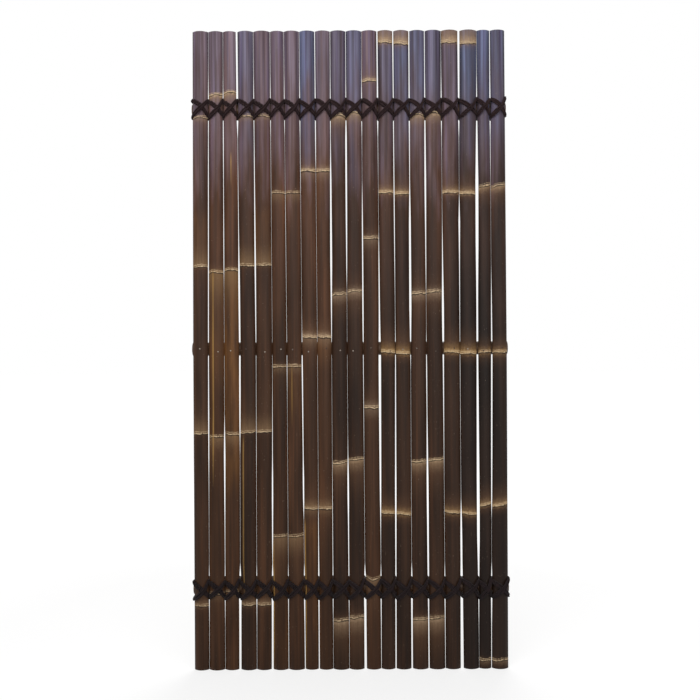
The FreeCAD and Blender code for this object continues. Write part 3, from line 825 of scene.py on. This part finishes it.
def makeCord(name, sign, section):
    shape = ropeShape
    route, places, gaps = ropeRoute(panel["rails"][name], sign)
    steps, total = evenSteps(smoothLine(route), shape["step"])
    data = bpy.data.curves.new(f"{name}Lashing", "CURVE")
    data.dimensions = "3D"
    data.bevel_mode = "OBJECT"
    data.bevel_object = section
    spline = data.splines.new("POLY")
    spline.points.add(len(steps) - 1)
    turns = round(total / shape["pitch"]) * 2 * math.pi
    for number, (target, point) in enumerate(zip(spline.points, steps)):
        nearest = min(range(len(places)), key=lambda gap: abs(places[gap] - point.x))
        inFront = abs(point.y + shape["edgeDepth"])    # squeezed where it passes between two slats
        room = (gaps[nearest] / 2 + shape["squeezeWiden"] * inFront) * shape["squeezeShare"] / shape["radius"]
        squeezed = abs(places[nearest] - point.x) < gaps[nearest] / 2 + shape["squeezeReach"]
        full = shape["fullness"][name][int(number > len(steps) / 2)]
        target.co = (*point, 1)
        target.radius = min(full, max(room, shape["thinnest"])) if squeezed else full
        target.tilt = turns * number / len(steps)
    spline.use_cyclic_u = True
    cord = bpy.data.objects.new(f"{name}Lashing", data)
    bpy.context.scene.collection.objects.link(cord)
    deselectAll()
    cord.select_set(True)
    bpy.context.view_layer.objects.active = cord
    bpy.ops.object.convert(target="MESH")
    return bpy.context.object, total


def makeLashing(name, material):
    deselectAll()
    data = bpy.data.curves.new("ropeSection", "CURVE")
    spline = data.splines.new("POLY")
    spline.points.add(len(ropeShape["section"]) - 1)
    for target, (x, y) in zip(spline.points, ropeShape["section"]):
        target.co = (x * ropeShape["radius"], y * ropeShape["radius"] * ropeShape["flatness"], 0, 1)
    spline.use_cyclic_u = True
    section = bpy.data.objects.new("ropeSection", data)
    bpy.context.scene.collection.objects.link(section)
    lengths = []
    cords = []
    for sign in (-1, 1):
        cord, total = makeCord(name, sign, section)
        cords.append(cord)
        lengths.append(total)
        mesh = cord.data
        sides = len(ropeShape["section"])
        ropeMap = mesh.uv_layers.new(name="ropeMap")
        for face in mesh.polygons:    # mm along the rope, and round it
            low = min(face.vertices)
            for loop in face.loop_indices:
                vertex = mesh.loops[loop].vertex_index
                ring = vertex // sides
                if vertex - low > 3 * sides:    # the faces that close the run
                    ring = -1
                ropeMap.data[loop].uv = (ring * ropeShape["step"], vertex % sides / sides)
    deselectAll()
    for cord in cords:
        cord.select_set(True)
    bpy.context.view_layer.objects.active = cords[0]
    bpy.ops.object.join()
    piece = bpy.context.object
    piece.name = piece.data.name = f"{name}Lashing"
    bpy.data.objects.remove(section)
    piece.data.materials.clear()
    piece.data.materials.append(material)
    settle(piece, Matrix.Scale(mm, 4))
    bpy.ops.object.mode_set(mode="EDIT")
    bpy.ops.mesh.select_all(action="SELECT")
    bpy.ops.mesh.normals_make_consistent(inside=False)
    bpy.ops.object.mode_set(mode="OBJECT")
    bpy.ops.object.shade_smooth_by_angle(angle=math.radians(60))
    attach(piece, "root")
    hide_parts(f"{name}_lashing")
    print(name, "lashing rope, m:", round(sum(lengths) / 1000, 2), "triangles:", len(piece.data.polygons) * 2)
    return piece


rope = ropeMaterial()
lashings = [makeLashing(name, rope) for name in ("bottom", "top")]
print("lashings made:", len(lashings))

# brads that hold the slats to the middle rail, which has no lashing
bradShape = {
    "sides": 16, "shank": 0.9, "length": 20, "head": 2.0, "thickness": 0.8, "sink": 0.25, "bevel": 0.15,
    "domeInset": 0.35, "dome": 0.25, "point": 0.2,    # the inset and the point are shares of their widths
    "spread": 6, "spreadTurn": 1.7, "rise": 5, "riseTurn": 2.3, "drop": 4,    # no two sit alike
}


def bradSteel():
    # plain wire brads: dull steel, rusted in patches
    material, shader, add = newMaterial("weatheredSteelBrad")
    place = add("TexCoord").outputs["Object"]
    rust = add("TexNoise", place, 700, 3)    # spots of 1.4 mm
    aged = add("TexNoise", place, 21, 0)    # 48 mm, so that some brads are browner than others
    colour = add("ValToRGB", rust, stops=((0.35, "#9b948b"), (0.55, "#83776b"), (0.7, "#5d4332")))
    colour = add("Mix", add("MapRange", aged, 0.44, 0.54, 0, 0.92), colour, "#33241c", data_type="RGBA")
    rough = add("MapRange", rust, 0.35, 0.65, 0.42, 0.75)
    dress(add, shader, {"Base Color": colour, "Roughness": rough, "Metallic": 0.6}, rust, 0.3, 0.0003)
    return material


def makeBrads(material):
    shape = bradShape
    deselectAll()
    bpy.ops.mesh.primitive_cylinder_add(vertices=shape["sides"], radius=shape["head"],
                                        depth=shape["thickness"], enter_editmode=True)
    pattern = bpy.context.object
    bpy.ops.mesh.select_mode(type="FACE")
    pickFaces(lambda co, normal: normal.z < -0.9)
    bpy.ops.mesh.inset(thickness=shape["head"] - shape["shank"])
    bpy.ops.mesh.extrude_region()
    bpy.ops.transform.translate(value=(0, 0, -shape["length"]))
    point = shape["point"]
    bpy.ops.transform.resize(value=(point, point, 1), center_override=(0, 0, -shape["length"]))
    pickFaces(lambda co, normal: normal.z > 0.9)
    bpy.ops.mesh.inset(thickness=shape["head"] * shape["domeInset"])
    bpy.ops.transform.translate(value=(0, 0, shape["dome"]))
    bpy.ops.mesh.select_mode(type="VERT")
    bpy.ops.object.mode_set(mode="OBJECT")
    applyModifier(pattern, "BEVEL", width=shape["bevel"], segments=2, limit_method="ANGLE",
                  angle_limit=math.radians(35))
    pattern.data.materials.append(material)
    brads = []
    for index in range(slatCount):
        rise = shape["rise"] * math.cos(shape["riseTurn"] * index)
        height = panel["rails"]["middle"] - shape["drop"] + rise
        left, right = slatSpan(index, height)
        aside = shape["spread"] * math.sin(shape["spreadTurn"] * index)
        radius = slatRadius(right - left)
        axis = (radius - panel["wall"]) * math.cos(halfSplit) - panel["backPlane"]
        depth = axis - math.sqrt(radius ** 2 - aside ** 2)
        brad = pattern.copy()
        brad.data = pattern.data.copy()
        brad.name = brad.data.name = f"railBrad{index + 1:02d}"
        bpy.context.scene.collection.objects.link(brad)
        lean = Matrix.Rotation(math.pi / 2, 4, "X") @ Matrix.Rotation(math.asin(aside / radius), 4, "Y")
        seat = Matrix.Translation((0, 0, shape["thickness"] / 2 - shape["sink"]))
        place = Matrix.Translation(((left + right) / 2 + aside, depth, height))
        settle(brad, Matrix.Scale(mm, 4) @ place @ lean @ seat)
        bpy.ops.object.shade_smooth_by_angle(angle=math.radians(40))
        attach(brad, "root")
        brads.append(brad)
    bpy.data.objects.remove(pattern)
    return brads


brads = makeBrads(bradSteel())
print("brads made:", len(brads))

# pale floor, white to the camera and quiet to the object
stageLook = {
    "floorSize": 60, "floorDrop": 0.0005, "floorColour": "#989898", "worldLight": 0.52, "aim": (0, 0, 0.95),
    "floorGlow": (0.675, 0.84), "glowReach": (1.2, 3.4),    # less where the lamps reach, so the shadow stays
}


def seenShare(add):
    # 1 for what the camera sees, also in a mirror or through glass
    path = add("LightPath")
    seen = path.outputs["Is Camera Ray"]
    for way in ("Is Glossy Ray", "Is Transmission Ray"):
        seen = add("Math", seen, path.outputs[way], operation="MAXIMUM")
    return seen


deselectAll()
bpy.ops.mesh.primitive_plane_add(size=stageLook["floorSize"], location=(0, 0, -stageLook["floorDrop"]))
floor = bpy.context.object
floor.name = "paleFloor"
floorMaterial, shader, add = newMaterial("paleFloor")
away = add("VectorMath", add("TexCoord").outputs["Object"], operation="LENGTH")
glow = add("MapRange", away, *stageLook["glowReach"], *stageLook["floorGlow"])
floorInputs = {
    "Base Color": stageLook["floorColour"], "Roughness": 0.95, "Specular IOR Level": 0,
    "Emission Color": "#ffffff", "Emission Strength": add("Math", seenShare(add), glow, operation="MULTIPLY"),
}
for name, value in floorInputs.items():
    feed(shader.inputs[name], value)
floor.data.materials.append(floorMaterial)

world = bpy.data.worlds.new("studio")
bpy.context.scene.world = world
world.use_nodes = True
add = functools.partial(addNode, world.node_tree)
background = world.node_tree.nodes["Background"]
feed(background.inputs["Color"], "#ffffff")
feed(background.inputs["Strength"], add("MapRange", seenShare(add), 0, 1, stageLook["worldLight"], 1))

# soft boxes: size m, place, watts
lamps = {
    "keySoftBox": (2.4, (-1.2, -3.0, 2.7), 72),
    "fillSoftBox": (2.4, (1.3, -3.0, 1.7), 38),
    "backSoftBox": (2.4, (0.6, 2.6, 2.6), 60),
}
for name, (across, place, power) in lamps.items():
    lampData = bpy.data.lights.new(name, "AREA")
    lampData.energy = power
    lampData.size = across
    lamp = bpy.data.objects.new(name, lampData)
    bpy.context.scene.collection.objects.link(lamp)
    lamp.location = place
    lamp.rotation_euler = (Vector(stageLook["aim"]) - Vector(place)).to_track_quat("-Z", "Y").to_euler()
bpy.context.scene.view_settings.view_transform = "Standard"
print("stage set")
